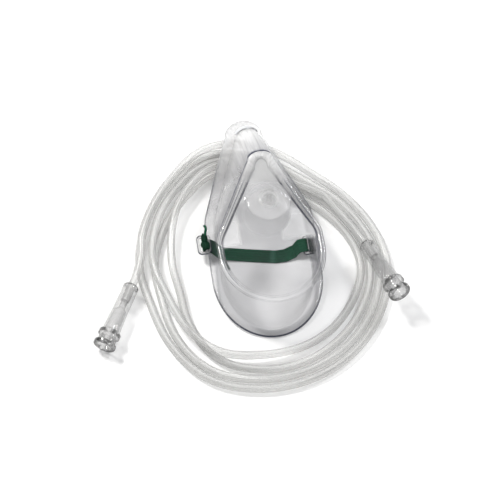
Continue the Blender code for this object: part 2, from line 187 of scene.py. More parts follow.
def newFinish(name):
    return Finish(bpy.data.materials.new(name))


def rgba(red, green, blue):
    return (red, green, blue, 1.0)


glossSteepness = 5.0


def skinned(finish, look, facing, wall, bump=None):
    # Gloss grows as the surface turns away, alike on the outer and the inner side of a thin wall.
    sockets = {"Roughness": look["roughness"]}
    if bump:
        sockets["Normal"] = bump
    gloss = finish.add("BsdfGlossy", sockets)
    least, most = look["gloss"]
    return finish.close(finish.shaders(facing ** glossSteepness * most + least, wall, gloss))


# the shell's finish: its UV map "form" holds the share of the way round it and the part of its profile
# (see profileAt), and its UV map "plan" the place across and along the mask, from the chin

clearVinyl = {
    "film": rgba(0.985, 0.985, 0.99), "milk": rgba(0.68, 0.68, 0.695), "frost": rgba(0.92, 0.92, 0.92),
    # edge: the colour of the painted dark edge lines; dusk: the colour of the painted shade and of the tint
    "edge": rgba(0.03, 0.034, 0.06), "dusk": rgba(0.05, 0.05, 0.055),
    "gloss": (0.02, 0.3), "roughness": 0.08, "bodyRoughness": (0.25, 0.35),
    "waves": (60.0, 3.0), "streaks": (260.0, 2.0),  # noise: scale, detail
    "stretch": (70.0, 1.6), "combed": (1.0, 4.0, 0.6),  # noise drawn out up the cheeks
    "ripple": (0.06, 0.0005),  # strength and depth of the bump
    "streaky": (0.4, 1.6), "lostAtNose": 0.7, "lineDepth": 1.6,  # the dark edge lines
    "wallMilk": (0.008, 0.45), "combedMilk": (0.35, 1.65), "panelMilk": (0.002, 0.3),
    # the patch milk and frost: painted light, whiter patches on the panel beside the snout's painted shadow
    "snoutMilk": (0.04, 0.13), "earMilk": 0.36, "beadMilk": 0.09, "paintedLightMilk": 0.26, "paintedLightFrost": 6.0,
    # painted shade on the left wall
    "paintedShade": (0.66, 0.15, 0.45),  # where round the shell, half width, strength
    "tint": (0.105, 0.03),  # on the wall, on the panel
    "beadTint": 0.35, "turnedTint": (3.0, 0.15), "shadow": 0.15,
    # the cloud and column values: a painted shadow on the panel, a soft blob between strap and chin and a
    # strip on the chin side of the snout
    "cloud": 0.12, "paintedShadowPlace": ((-0.004, 0.042), (0.031, 0.04)), "paintedShadowWaves": (0.6, 1.4), "column": 0.015}

# painted dark lines where the shell's edges are looked through, standing in for their refraction
paintedEdgeLines = {  # where on the profile, half width, strength at the chin, at the sides, share kept at the apex
    "rim": (0.0, 0.1, 1.1, 0.5, 1.0), "foot": (1.0, 0.05, 0.05, 0.05, 1.0),
    "beadOuter": (2.0, 0.055, 0.3, 1.25, 0.6), "beadCrest": (2.5, 0.04, 0.08, 0.9, 0.1),
    "beadInner": (3.0, 0.05, 0.22, 1.05, 0.06), "snoutFoot": (4.05, 0.06, 0.04, 0.04, 1.0),
    "snoutTop": (5.1, 0.12, 0.01, 0.01, 1.0), "port": (6.0, 0.08, 0.04, 0.04, 1.0)}

zones = {  # parts of the shell, by what they are read from: where each begins, where it is whole
    "around": {"rightOfChin": (0.03, 0.2), "leftOfChin": (0.97, 0.8)},
    "profile": {"ear": (-0.15, -0.4), "bead": (1.97, 2.03), "panel": (2.97, 3.02), "snout": (4.0, 4.06),
                "snoutTop": (4.9, 5.1)},
    "along": {"apex": (0.09, 0.112), "nose": (0.115, 0.15), "noseward": (0.08, 0.125),
              "milkyPanel": (0.078, 0.106), "frostedPanel": (0.084, 0.104),
              "patchesStart": (0.055, 0.059), "patchesEnd": (0.084, 0.074)},
    "across": {"stripLeft": (-0.019, -0.015), "stripRight": (0.014, 0.01)}}


def shellFinish():
    # Clear soft vinyl, milky towards the nose; painted dark lines where an edge is looked through, painted
    # shade on the left wall, a painted shadow and painted light on the panel.
    look = clearVinyl
    finish = newFinish("clearSoftVinyl")
    around, profile = finish.split("form")
    across, along = finish.split("plan")
    zone = {}
    for value, kind in ((around, "around"), (profile, "profile"), (along, "along"), (across, "across")):
        for name, (begins, whole) in zones[kind].items():
            zone[name] = finish.range(value, begins, whole)
    onPanel, onSnout, onEar = zone["panel"], zone["snout"], zone["ear"]
    onBead = zone["bead"] * (1.0 - onPanel)
    side = zone["rightOfChin"] * zone["leftOfChin"]
    inStrip = zone["stripLeft"] * zone["stripRight"]
    inBand = zone["patchesStart"] * zone["patchesEnd"]
    facing = finish.facing()
    waves = finish.noise(finish.ownPlace(), *look["waves"])
    streaks = finish.noise(finish.ownPlace(), *look["streaks"])
    stretched = {0: around * look["stretch"][0], 1: profile * look["stretch"][1]}
    combed = finish.noise(finish.add("CombineXYZ", stretched), *look["combed"])
    bump = finish.bump(waves, *look["ripple"])

    # painted dark edge lines, weaker at the apex and the nose
    lines = 0.0
    for where, half, atChin, atSides, kept in paintedEdgeLines.values():
        line = finish.pulse(profile, where, half) * finish.between(side, (atChin, atSides))
        lines = line * (1.0 - zone["apex"] * (1.0 - kept)) + lines
    lines = lines * finish.between(streaks, look["streaky"]) * (1.0 - zone["nose"] * look["lostAtNose"])

    wallMilk = finish.between(zone["noseward"], look["wallMilk"]) * finish.between(combed, look["combedMilk"])
    panelMilk = finish.between(zone["milkyPanel"], look["panelMilk"])
    milk = wallMilk + (panelMilk - wallMilk) * onPanel
    milk = milk + (finish.between(zone["snoutTop"], look["snoutMilk"]) - milk) * onSnout
    milk = milk + (look["earMilk"] - milk) * onEar
    # painted light: milkier, whiter patches on the panel either side of the strip of painted shadow
    patches = onPanel * (1.0 - onSnout) * inBand * (1.0 - inStrip) * look["paintedLightMilk"]
    milk = milk + patches + onBead * side * look["beadMilk"]

    # painted shade: the left wall darker, streaked along the combed noise
    where, half, strength = look["paintedShade"]
    paintedShade = finish.pulse(around, where, half) * (1.0 - onPanel) * strength * combed
    white = zone["frostedPanel"] * onPanel * (1.0 - onSnout) + zone["nose"]
    white = white + patches * look["paintedLightFrost"] + onEar + onBead + onSnout
    pale = finish.colours(paintedShade, finish.colours(white, look["milk"], look["frost"]), look["dusk"])
    shade = finish.colours(lines * look["lineDepth"], pale, look["edge"])
    body = finish.body(shade, finish.between(waves, look["bodyRoughness"]), {"Normal": bump})

    # painted shadow on the panel: a soft dark blob between strap and chin and a dark strip on the chin side
    # of the snout, darkening what is seen through it
    cloud, column = look["paintedShadowPlace"]
    paintedPanelShadow = finish.pulse(across, *cloud) * finish.pulse(along, *column) * look["cloud"]
    paintedPanelShadow = (paintedPanelShadow + inStrip * inBand * look["column"]) * finish.between(waves, look["paintedShadowWaves"])
    tint = finish.between(onPanel, look["tint"]) * (1.0 - onBead * look["beadTint"])
    tint = tint + finish.ray("Is Shadow Ray") * (1.0 - onPanel) * look["shadow"] + onPanel * paintedPanelShadow
    steepness, depth = look["turnedTint"]
    tint = facing ** steepness * depth * (1.0 - onSnout) + tint
    dusk = finish.add("BsdfDiffuse", {"Color": look["dusk"]})
    clear = finish.over(tint, dusk, look["film"])
    return skinned(finish, look, facing, finish.shaders(milk + lines, clear, body), bump)


clearTube = {
    "film": rgba(0.94, 0.94, 0.935), "pale": rgba(0.73, 0.73, 0.725), "dark": rgba(0.2, 0.2, 0.2),
    "bright": rgba(1.0, 1.0, 1.0), "gloss": (0.015, 0.35), "roughness": 0.2,
    "bodyRoughness": 0.35, "specular": 0.3,
    "solid": (0.26, 0.7, 0.6),  # everywhere, added in the dark lines, added in the shine
    "edge": (2.4, 0.75),  # steepness and depth of the dark where the wall is seen edge on
    "cloud": {"Scale": 18.0, "Detail": 3.0}, "uneven": 1.6,  # along the tube, and what it does to the lines
    "lines": (  # where round the tube, half width, strength
        (0.16, 0.026, 0.8), (0.34, 0.026, 0.7), (0.095, 0.014, 0.5), (0.405, 0.014, 0.45),
        (0.6, 0.03, 0.3), (0.88, 0.03, 0.3)),
    # a painted highlight along the top of the tube: where round it, half width, strength
    "paintedHighlight": (0.25, 0.045, 0.28)}


def tubeFinish():
    # Soft clear tubing: the star-shaped bore shows as fine lengthwise lines, beside a painted highlight along
    # the top.
    look = clearTube
    finish = newFinish("clearTubing")
    along, around = finish.split("form")
    facing = finish.facing()
    cloud = finish.add("TexNoise", {"W": along, **look["cloud"]}, noise_dimensions="1D")
    steepness, depth = look["edge"]
    dark = facing ** steepness * depth
    for where, half, strength in look["lines"]:
        dark = finish.pulse(around, where, half) * (cloud * strength * look["uneven"]) + dark
    # painted highlight: a bright line along the top
    where, half, strength = look["paintedHighlight"]
    paintedHighlight = finish.pulse(around, where, half) * strength
    shade = finish.colours(paintedHighlight, finish.colours(dark, look["pale"], look["dark"]), look["bright"])
    body = finish.body(shade, look["bodyRoughness"], {"Specular IOR Level": look["specular"]})
    solid, inLines, inPaintedHighlight = look["solid"]
    wall = finish.over(dark * inLines + paintedHighlight * inPaintedHighlight + solid, body, look["film"])
    return skinned(finish, look, facing, wall)


clearHard = {
    "film": rgba(0.98, 0.98, 0.98), "dark": rgba(0.03, 0.03, 0.03), "gloss": (0.04, 0.5), "roughness": 0.06,
    "bodyRoughness": 0.15, "cloud": (240.0, 2.0), "cloudRange": (0.38, 0.6),
    "rings": (2.5, 0.7, 0.4),  # steepness, strength from the cloud, strength from the turn of the surface
    "edge": (1.9, 0.5), "depth": 1.7,
    # the dark: the painted dark rings and edges
    "clearAdapterVinyl": (0.05, 0.85, 0.09),  # strength of the dark and the gloss, paleness, solidity
    "clearFittingVinyl": (1.0, 0.58, 0.13)}


def hardFinish(name):
    # Clear hard vinyl of the fittings: thick lips and steps carry painted dark rings, standing in for the
    # refraction at their edges.
    look = clearHard
    strength, pale, solid = look[name]
    finish = newFinish(name)
    paintedRingDark = finish.split("form")[1]
    facing = finish.facing()
    cloud = finish.range(finish.noise(finish.ownPlace(), *look["cloud"]), *look["cloudRange"])
    steepness, fromCloud, fromTurn = look["rings"]
    rings = paintedRingDark ** steepness * (cloud * fromCloud + facing * fromTurn)
    steepness, depth = look["edge"]
    dark = (rings + facing ** steepness * depth) * strength
    shade = finish.colours(dark * look["depth"], rgba(pale, pale, pale), look["dark"])
    wall = finish.over(dark + solid, finish.body(shade, look["bodyRoughness"]), look["film"])
    least, most = look["gloss"]
    return skinned(finish, {**look, "gloss": (least * strength, most * strength)}, facing, wall)


elastic = {
    "dark": (0.0005, 0.024, 0.01), "bright": (0.002, 0.068, 0.032), "thread": (0.005, 0.1, 0.046),
    # painted shade: the knotted copy is the same elastic at 0.4 of its brightness; the thread under the strap
    # uses it too
    "bendGreen": (0.05, 0.16, 0.11), "light": {"greenElastic": 1.0, "shadedElastic": 0.4},
    "ribs": {"Scale": 150.0, "Distortion": 1.5, "Detail": 2.0, "Detail Scale": 40.0},
    "rows": {"Scale": 420.0, "Distortion": 0.4, "Detail": 1.0},
    "cloth": (0.6, 0.4), "threads": 0.6, "patches": (90.0, 4.0),  # cloth: from the ribs, from the rows
    # at the bend the green turns lighter
    "bend": (0.0563, 0.0035, 0.5),  # where along the strap, half width, strength
    "bump": (0.6, 0.00025), "roughness": (0.85, 0.7), "specular": 0.2}


def elasticFinish(name):
    finish = newFinish(name)
    light = elastic["light"][name]
    darkest, bright, thread, bendGreen = [rgba(*(part * light for part in elastic[colour]))
                                     for colour in ("dark", "bright", "thread", "bendGreen")]
    weave = finish.add("UVMap", uv_map="form")
    ribs, rows = [finish.add("TexWave", {"Vector": weave, **elastic[kind]}, 1, bands_direction=direction)
                  for direction, kind in (("Y", "ribs"), ("X", "rows"))]
    cloth = ribs * elastic["cloth"][0] + rows * elastic["cloth"][1]
    shade = finish.colours(finish.noise(weave, *elastic["patches"]), darkest, bright)
    shade = finish.colours(cloth * elastic["threads"], shade, thread)
    where, half, strength = elastic["bend"]
    shade = finish.colours(finish.pulse(finish.split("form")[0], where, half) * strength, shade, bendGreen)
    more = {"Normal": finish.bump(cloth, *elastic["bump"]), "Specular IOR Level": elastic["specular"]}
    return finish.close(finish.body(shade, finish.between(cloth, elastic["roughness"]), more))


rolled = {
    "stretch": (300.0, 2600.0, 2600.0), "grain": (1.0, 4.0), "dark": rgba(0.66, 0.67, 0.69),
    "pale": rgba(0.84, 0.85, 0.87), "bump": (0.2, 0.0001), "roughness": (0.3, 0.5)}


def clipFinish():
    # Rolled aluminium, brushed along the strip.
    finish = newFinish("rolledAluminium")
    sockets = {"Vector": finish.ownPlace(), "Scale": rolled["stretch"]}
    brushed = finish.noise(finish.add("Mapping", sockets), *rolled["grain"])
    shade = finish.colours(brushed, rolled["dark"], rolled["pale"])
    roughness = finish.between(brushed, rolled["roughness"])
    bump = finish.bump(brushed, *rolled["bump"])
    return finish.close(finish.body(shade, roughness, {"Metallic": 1.0, "Normal": bump}))


def floorFinish():
    # The camera sees a white sweep that still takes the shadows.
    finish = newFinish("paleFloor")
    seen = finish.ray("Is Camera Ray") + finish.ray("Is Glossy Ray") + finish.ray("Is Transmission Ray")
    matt = finish.add("BsdfDiffuse", {"Color": rgba(*room["floor"])})
    glow = finish.add("Emission", {"Color": rgba(1.0, 1.0, 1.0), "Strength": 1.0})
    return finish.close(finish.shaders(seen * room["floorGlow"], matt, glow))


def lightRoom():
    # White surroundings, each kind of ray with its own strength, and the sweep.
    world = bpy.data.worlds.new("studio")
    scene.world = world
    sky = Finish(world)
    lit, mirrored, seen = [sky.add("Background", {"Strength": strength})
                           for strength in room["white"]]
    shade = sky.shaders(sky.ray("Is Glossy Ray"), lit, mirrored)
    sky.close(sky.shaders(sky.ray("Is Camera Ray"), shade, seen), "OutputWorld")
    half = room["floorSize"] / 2.0
    mesh = bpy.data.meshes.new("floor")
    mesh.from_pydata([(-half, -half, 0.0), (half, -half, 0.0), (half, half, 0.0), (-half, half, 0.0)], [],
                     [range(4)])
    mesh.materials.append(floorFinish())
    floor = placed("floor", mesh)


# the mask's own shape: chin at y 0, nose at the end of the rim, placed and turned on the table

mask = {
    "place": Vector((0.01195, -0.08402, -0.00017)), "turn": radians(8.4), "lean": 0.12, "bow": 0.0015,
    "noseSweep": 0.0031, "rimSlope": 0.1082, "wall": 0.0012, "columns": 240, "flange": 0.0055,
    "lip": 0.0008, "lipWidth": 0.0014, "lipCurve": (0.5, 0.35), "knee": 0.18, "kneeClimb": 0.72,
    "wallSteps": 20, "bead": 0.0046, "beadHeight": 0.0014, "beadSteps": 10, "panelDrop": 0.0006,
    "panelSteps": 10, "shieldHeight": 0.036, "apexHeight": 0.054, "apexCurve": 1.2,
    "snoutMargin": 0.0048, "snoutRadius": 0.0158, "snoutDraft": 0.0008, "snoutHeight": 0.057,
    "snoutSteps": 4, "fillet": 0.0014, "filletDip": 0.15, "port": 0.005, "portRing": 0.004,
    "taperKnee": 0.15, "chinInset": 0.5, "leastNose": 0.001, "nudge": 0.01, "sharp": 35.0}

# what the UV map "form" says up the profile
profileAt = {
    "ear": -0.5, "lip": (0.0, 0.12, 0.25), "wall": 1.0, "bead": 2.0, "panel": (3.05, 4.0),
    "snoutFoot": (4.05, 4.1), "snoutTop": 5.0, "shoulder": 5.2, "portRing": 5.5, "port": 6.0}


@dataclass
class Outline:
    start: float
    end: float
    halfWidth: float
    chinReach: float
    taperStart: float
    noseHalfWidth: float
    noseRound: float

    def inset(self, amount):
        return Outline(self.start + amount, self.end - amount, self.halfWidth - amount,
                       self.chinReach - amount * mask["chinInset"], self.taperStart,
                       max(self.noseHalfWidth - amount, mask["leastNose"]), self.noseRound)

    def widthAt(self, y):
        noseStart = self.end - self.noseRound
        share = clamp((y - self.taperStart) / (noseStart - self.taperStart))
        knee = mask["taperKnee"]
        eased = share * share / (2.0 * knee) if share < knee else share - knee / 2.0
        eased /= 1.0 - knee / 2.0
        width = mixed(self.halfWidth, self.noseHalfWidth, eased)
        alongChin = clamp((y - self.start) / self.chinReach)
        width *= sqrt(1.0 - (1.0 - alongChin) ** 2)
        alongNose = clamp((y - noseStart) / self.noseRound)
        return width * sqrt(1.0 - alongNose ** 2)

    def point(self, angle):
        y = mixed(self.start, self.end, (1.0 - cos(angle)) / 2.0)
        return (1.0 if angle <= pi else -1.0) * self.widthAt(y), y


def clamp(value):
    return min(max(value, 0.0), 1.0)


def mixed(low, high, share):
    return low + (high - low) * share


rim = Outline(0.0, 0.17, 0.0387, 0.046, 0.088, 0.013, 0.011)
shield = Outline(0.0085, 0.121, 0.0378, 0.04, 0.058, 0.0095, 0.006)
panel = shield.inset(mask["bead"] + mask["panelDrop"])
onTable = Matrix.Translation(mask["place"]) @ Matrix.Rotation(mask["turn"], 4, "Z")


def lastPlace(low, high, passes, halvings=30):
    # the end of the stretch that passes the test
    for _ in range(halvings):
        middle = (low + high) / 2.0
        low, high = (middle, high) if passes(middle) else (low, middle)
    return low


def snoutStation():
    # the place nearest the nose where the panel still leaves the snout its margin
    needed = mask["snoutRadius"] + mask["snoutDraft"] + mask["fillet"] + mask["snoutMargin"]
    return lastPlace(panel.start, panel.end, lambda y: y < panel.taperStart or panel.widthAt(y) > needed)


snoutAt = snoutStation()


def rimHeight(y):
    return mask["wall"] + mask["rimSlope"] * max(y, 0.0)


def swept(y):
    share = clamp((y - rim.taperStart) / (rim.end - rim.noseRound - rim.taperStart))
    return mask["noseSweep"] * share * share * (3.0 - 2.0 * share)


def shieldTop(y):
    along = clamp((y - shield.taperStart) / (shield.end - shield.taperStart))
    return mixed(mask["shieldHeight"], mask["apexHeight"], along ** mask["apexCurve"])


def leaned(x, y, z):
    return Vector((x - mask["bow"] * sin(pi * clamp(y / rim.end)) + mask["lean"] * z, y, z))


def flangePoint(angle, inset, lift=0.0):
    x, y = rim.inset(inset).point(angle)
    return leaned(x - swept(y), y, rimHeight(y) + lift)


def shieldPoint(angle, inset, lift=0.0):
    x, y = shield.inset(inset).point(angle)
    return leaned(x, y, shieldTop(y) + lift)


def wallPoint(angle, climb):
    foot = flangePoint(angle, mask["flange"])
    head = shieldPoint(angle, 0.0)
    knee = foot.lerp(head, mask["knee"])
    knee.z = mixed(foot.z, head.z, mask["kneeClimb"])
    return foot.lerp(knee, climb).lerp(knee.lerp(head, climb), climb)


def wallNormal(angle, climb):
    nudge = mask["nudge"]
    along = wallPoint(angle + nudge, climb) - wallPoint(angle - nudge, climb)
    up = wallPoint(angle, climb + nudge) - wallPoint(angle, climb - nudge)
    return along.cross(up).normalized()


def snoutPoint(angle, radius, height=None):
    x, y = panel.point(angle)
    reach = hypot(x, y - snoutAt)
    x *= radius / reach
    y = snoutAt + (y - snoutAt) * radius / reach
    return leaned(x, y, shieldTop(y) if height is None else height)


def shellColumn(angle):
    # From the rim's lip, up the cheek, over the bead and the panel, to the port: (profile value, place).
    wall, bead, steps = mask["wallSteps"], mask["beadSteps"], mask["snoutSteps"]
    fillet, lip, top = mask["fillet"], mask["lip"], mask["snoutHeight"]
    column = list(zip(profileAt["lip"], [flangePoint(angle, mask["lipWidth"] * share, lip * rise)
                                         for share, rise in ((0.0, 1.0), mask["lipCurve"], (1.0, 0.0))]))
    column += [(profileAt["wall"] + step / wall, wallPoint(angle, step / wall)) for step in range(wall)]
    for step in range(bead + 1):
        turn = pi * step / bead
        inset = mask["bead"] * (1.0 - cos(turn)) / 2.0
        place = shieldPoint(angle, inset, mask["beadHeight"] * sin(turn))
        column.append((profileAt["bead"] + step / bead, place))
    edge = shieldPoint(angle, mask["bead"] + mask["panelDrop"], -mask["panelDrop"])
    outer = mask["snoutRadius"] + mask["snoutDraft"]
    foot = snoutPoint(angle, outer + fillet)
    for step in range(mask["panelSteps"] + 1):
        share = step / mask["panelSteps"]
        column.append((mixed(*profileAt["panel"], share), edge.lerp(foot, share)))
    base = snoutPoint(angle, outer) + Vector((0.0, 0.0, fillet))
    hollow = foot.lerp(base, 0.5) - Vector((0.0, 0.0, fillet * mask["filletDip"]))
    column += zip(profileAt["snoutFoot"], (hollow, base))
    shoulder = snoutPoint(angle, mask["snoutRadius"], top - fillet)
    for step in range(1, steps + 1):
        value = mixed(profileAt["snoutFoot"][1], profileAt["snoutTop"], step / steps)
        column.append((value, base.lerp(shoulder, step / steps)))
    for step in range(1, steps + 1):
        turn = pi / 2.0 * step / steps
        place = snoutPoint(angle, mask["snoutRadius"] - fillet * (1.0 - cos(turn)),
                           top - fillet * (1.0 - sin(turn)))
        column.append((mixed(profileAt["snoutTop"], profileAt["shoulder"], step / steps), place))
    column.append((profileAt["portRing"], snoutPoint(angle, mask["port"] + mask["portRing"], top)))
    column.append((profileAt["port"], snoutPoint(angle, mask["port"], top)))
    return column


def loft(rings, closed, forms=None):
    # Skin between rings of equal length; forms gives each ring's UV as (value along u at each point, v).
    work = bmesh.new()
    rows = [[work.verts.new(point) for point in ring] for ring in rings]
    layer = work.loops.layers.uv.new("form") if forms else None
    plan = work.loops.layers.uv.new("plan") if forms else None
    count = len(rows[0])

    def mark(face, corners):
        for loop, corner in zip(face.loops, corners if forms else ()):
            loop[layer].uv = forms(*corner)
            loop[plan].uv = loop.vert.co.xy

    for row, (lower, upper) in enumerate(zip(rows, rows[1:])):
        for here in range(count):
            after = (here + 1) % count
            face = work.faces.new((lower[here], lower[after], upper[after], upper[here]))
            mark(face, ((row, here), (row, here + 1), (row + 1, here + 1), (row + 1, here)))
    if closed:
        for points, row in ((rows[0][::-1], 0), (rows[-1], len(rows) - 1)):
            mark(work.faces.new(points), [(row, column) for column in range(count)])
    return work


def meshPiece(name, work, finish, place=None):
    if place:
        work.transform(place)
    mesh = bpy.data.meshes.new(name)
    work.to_mesh(mesh)
    work.free()
    if finish:
        mesh.materials.append(finish)
    mesh.shade_smooth()
    return placed(name, mesh)


def settled(made, finish, sharp):
    # Modifiers become plain mesh, so the piece keeps the shape it renders with.
    bpy.context.view_layer.update()
    mesh = bpy.data.meshes.new_from_object(made.evaluated_get(bpy.context.evaluated_depsgraph_get()))
    made.modifiers.clear()
    made.data = mesh
    mesh.materials.clear()
    mesh.materials.append(finish)
    mesh.shade_smooth()
    mesh.set_sharp_from_angle(angle=radians(sharp))
    return made


ear = {
    "station": {1: 0.0672, -1: 0.0765}, "reach": {1: 0.0085, -1: 0.0092},  # 1 is right, -1 is left
    "fold": {1: radians(163.0), -1: 0.0}, "length": 0.015, "corner": 0.003, "root": 0.0018,
    "wall": 0.0016, "sunk": (0.7, 0.2), "nudge": 0.001, "slot": 0.0034, "slotLength": 0.011,
    "slotCorner": 0.3, "slotRim": 0.0022}


def earFrame(side):
    station, fold, nudge = ear["station"][side], ear["fold"][side], ear["nudge"]
    sunk, more = ear["sunk"]
    rise = rimHeight(station + nudge) - rimHeight(station - nudge)
    root = leaned(side * (rim.widthAt(station) - ear["root"]), station,
                  rimHeight(station) - mask["wall"] * (sunk + more * cos(fold)))
    return (Matrix.Translation(root) @ Matrix.Rotation(atan2(rise, 2.0 * nudge), 4, "X")
            @ Matrix.Rotation(0.0 if side > 0 else pi, 4, "Z") @ Matrix.Rotation(fold, 4, "Y"))


def slotMiddle(side):
    return ear["reach"][side] - ear["slotRim"] - ear["slot"] / 2.0


plateForm = {"sides": 8, "soft": 0.2, "softLength": 0.1, "edge": 0.0009, "edgeLength": 0.2}


def roundedPlate(length, width, corner, height):
    # A flat plate with round corners and softened edges, its middle in the origin.
    sides, points = plateForm["sides"], []
    for quarter, (signX, signY) in enumerate(((1, 1), (-1, 1), (-1, -1), (1, -1))):
        centre = Vector((signX * (length / 2 - corner), signY * (width / 2 - corner), 0.0))
        for step in range(sides + 1):
            turn = (quarter + step / sides) * pi / 2.0
            points.append(centre + corner * Vector((cos(turn), sin(turn), 0.0)))
    soft = min(height * plateForm["soft"], length * plateForm["softLength"])
    edge = min(plateForm["edge"], length * plateForm["edgeLength"])
    rings = []
    for inset, lift in ((edge, 0.0), (soft, 0.0), (0.0, soft), (0.0, height - soft), (soft, height),
                        (edge, height)):
        shrink = Vector(((length - 2.0 * inset) / length, (width - 2.0 * inset) / width, 1.0))
        rings.append([point * shrink + Vector((0.0, 0.0, lift)) for point in points])
    # the rounded sides sit at the rim's place on the profile, so ears and slot walls take the painted dark
    # rim line
    return loft(rings, True, lambda row, column: (0.0, profileAt["ear"] if row in (0, 5) else 0.0))


vents = {
    "Holes": 8, "Hole radius": 0.0016, "Ring radius": 0.0095, "Depth": 0.012, "sides": 24,
    "angle": radians(107.0), "climb": 0.46, "form": 0.12}


def ventTree():
    # Perforations: a ring of drills, cut from the shell that the tree is given.
    tree = bpy.data.node_groups.new("ventHoles", "GeometryNodeTree")
    face = tree.interface
    for name, kind in (
            ("Geometry", "Geometry"), ("Holes", "Int"), ("Hole radius", "Float"), ("Ring radius", "Float"),
            ("Depth", "Float"), ("Middle", "Vector"), ("Turn", "Rotation"), ("Finish", "Material")):
        face.new_socket(name, in_out="INPUT", socket_type="NodeSocket" + kind)
    face.new_socket("Geometry", in_out="OUTPUT", socket_type="NodeSocketGeometry")
    source, out = [tree.nodes.new("NodeGroup" + kind) for kind in ("Input", "Output")]
    ring, drill, spread, real, turn, cut, paint, pale = [tree.nodes.new("GeometryNode" + kind) for kind in (
        "MeshCircle", "MeshCylinder", "InstanceOnPoints", "RealizeInstances", "Transform", "MeshBoolean",
        "SetMaterial", "StoreNamedAttribute")]
    pale.data_type, pale.domain = "FLOAT2", "CORNER"  # keeps the shell's edge line faint in the holes
    pale.inputs["Name"].default_value = "form"
    pale.inputs["Value"].default_value = (0.0, vents["form"], 0.0)
    drill.inputs["Vertices"].default_value = vents["sides"]
    cut.operation = "DIFFERENCE"
    for start, output, end, target in (
            (source, "Holes", ring, "Vertices"), (source, "Ring radius", ring, "Radius"),
            (source, "Hole radius", drill, "Radius"), (source, "Depth", drill, "Depth"),
            (ring, "Mesh", spread, "Points"), (drill, "Mesh", pale, "Geometry"),
            (pale, "Geometry", spread, "Instance"), (spread, "Instances", real, "Geometry"),
            (real, "Geometry", turn, "Geometry"), (source, "Middle", turn, "Translation"),
            (source, "Turn", turn, "Rotation"), (source, "Geometry", cut, "Mesh 1"),
            (turn, "Geometry", cut, "Mesh 2"), (cut, "Mesh", paint, "Geometry"),
            (source, "Finish", paint, "Material"), (paint, "Geometry", out, "Geometry")):
        tree.links.new(start.outputs[output], end.inputs[target])
    return tree


def setInputs(modifier, values):
    for socket in modifier.node_group.interface.items_tree:
        if socket.in_out == "INPUT" and socket.name in values:
            modifier[socket.identifier] = values[socket.name]


def combine(shell, operation, work, side):
    # Joins an ear's body to the shell, or cuts it out; the body goes once the shell is settled.
    other = meshPiece("earTool", work, None, onTable @ earFrame(side))
    other.hide_render = True
    step = shell.modifiers.new("ear", "BOOLEAN")
    step.operation, step.object, step.solver = operation, other, "EXACT"
    return other


def makeShell(finish):
    count = mask["columns"]
    columns = [shellColumn(tau * step / count) for step in range(count)]
    values = [value for value, _ in columns[0]]
    rings = [[column[row][1] for column in columns] for row in range(len(values))]
    work = loft(rings, False, lambda ring, column: (column / count, values[ring]))
    shell = meshPiece("maskShell", work, finish, onTable)
    wall = shell.modifiers.new("wall", "SOLIDIFY")
    wall.thickness = mask["wall"]
    wall.offset = -1.0
    tools = []
    for side in (1, -1):
        reach = ear["reach"][side]
        plate = roundedPlate(reach + ear["root"] / 2.0, ear["length"], ear["corner"], ear["wall"])
        plate.transform(Matrix.Translation((reach / 2.0 - ear["root"] / 4.0, 0.0, 0.0)))
        tools.append(combine(shell, "UNION", plate, side))
    for side in (1, -1):
        corner = ear["slot"] * ear["slotCorner"]
        slot = roundedPlate(ear["slot"], ear["slotLength"], corner, 3.0 * ear["wall"])
        slot.transform(Matrix.Translation((slotMiddle(side), 0.0, -ear["wall"])))
        tools.append(combine(shell, "DIFFERENCE", slot, side))
    tree = ventTree()
    for side in (1, -1):
        angle = (vents["angle"] * side) % tau
        middle = onTable @ wallPoint(angle, vents["climb"])
        outward = onTable.to_3x3() @ wallNormal(angle, vents["climb"])
        holes = shell.modifiers.new("vents", "NODES")
        holes.node_group = tree
        turn = upward.rotation_difference(outward).to_euler()
        setInputs(holes, {**vents, "Middle": middle, "Turn": turn, "Finish": finish})
    settled(shell, finish, mask["sharp"])
    for made in tools:
        bpy.data.objects.remove(made, do_unlink=True)
    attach(shell, "root")
    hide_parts("mask_shell")
    print("mask shell", len(shell.data.polygons), "faces")


clip = {
    "setback": 0.018, "width": 0.005, "wall": 0.0007, "spread": radians(22.0), "gap": 0.00045,
    "steps": 48, "across": (-1.0, -0.5, 0.0, 0.5, 1.0), "sharp": 30.0}


def climbAt(angle, y):
    return lastPlace(0.0, 1.0, lambda climb: wallPoint(angle, climb).y > y)


def makeClip(finish):
    across, gap = clip["across"], clip["gap"]
    rings = []
    for step in range(clip["steps"] + 1):
        angle = pi + clip["spread"] - 2.0 * clip["spread"] * step / clip["steps"]
        ring = []
        for lift, order in ((gap, across), (gap + clip["wall"], across[::-1])):
            for share in order:
                climb = climbAt(angle, rim.end - clip["setback"] + share * clip["width"] / 2.0)
                ring.append(wallPoint(angle, climb) + wallNormal(angle, climb) * lift)
        rings.append(ring)
    made = meshPiece("noseClip", loft(rings, True), finish, onTable)
    settled(made, finish, clip["sharp"])
    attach(made, "root")
    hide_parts("nose_clip")


lathe = {"steps": 72, "sharp": 40.0, "same": 0.000001}


def turnedBody(name, corners, sizes, finish, place):
    # A corner: its radius and its height, named in sizes, the painted darkness of its ring, and what is added
    # to both.
    steps = lathe["steps"]
    turns = [tau * step / steps for step in range(steps)]
    rings = []
    for radius, height, _, *added in corners + corners[:1]:
        wider, higher = added or (0.0, 0.0)
        out, up = sizes[radius] + wider, sizes[height] + higher
        rings.append([Vector((out * cos(turn), out * sin(turn), up)) for turn in turns])
    work = loft(rings, False, lambda ring, column: (column / steps, corners[ring % len(corners)][2]))
    bmesh.ops.remove_doubles(work, verts=work.verts, dist=lathe["same"])
    bmesh.ops.recalc_face_normals(work, faces=work.faces)
    return settled(meshPiece(name, work, finish, place), finish, lathe["sharp"])


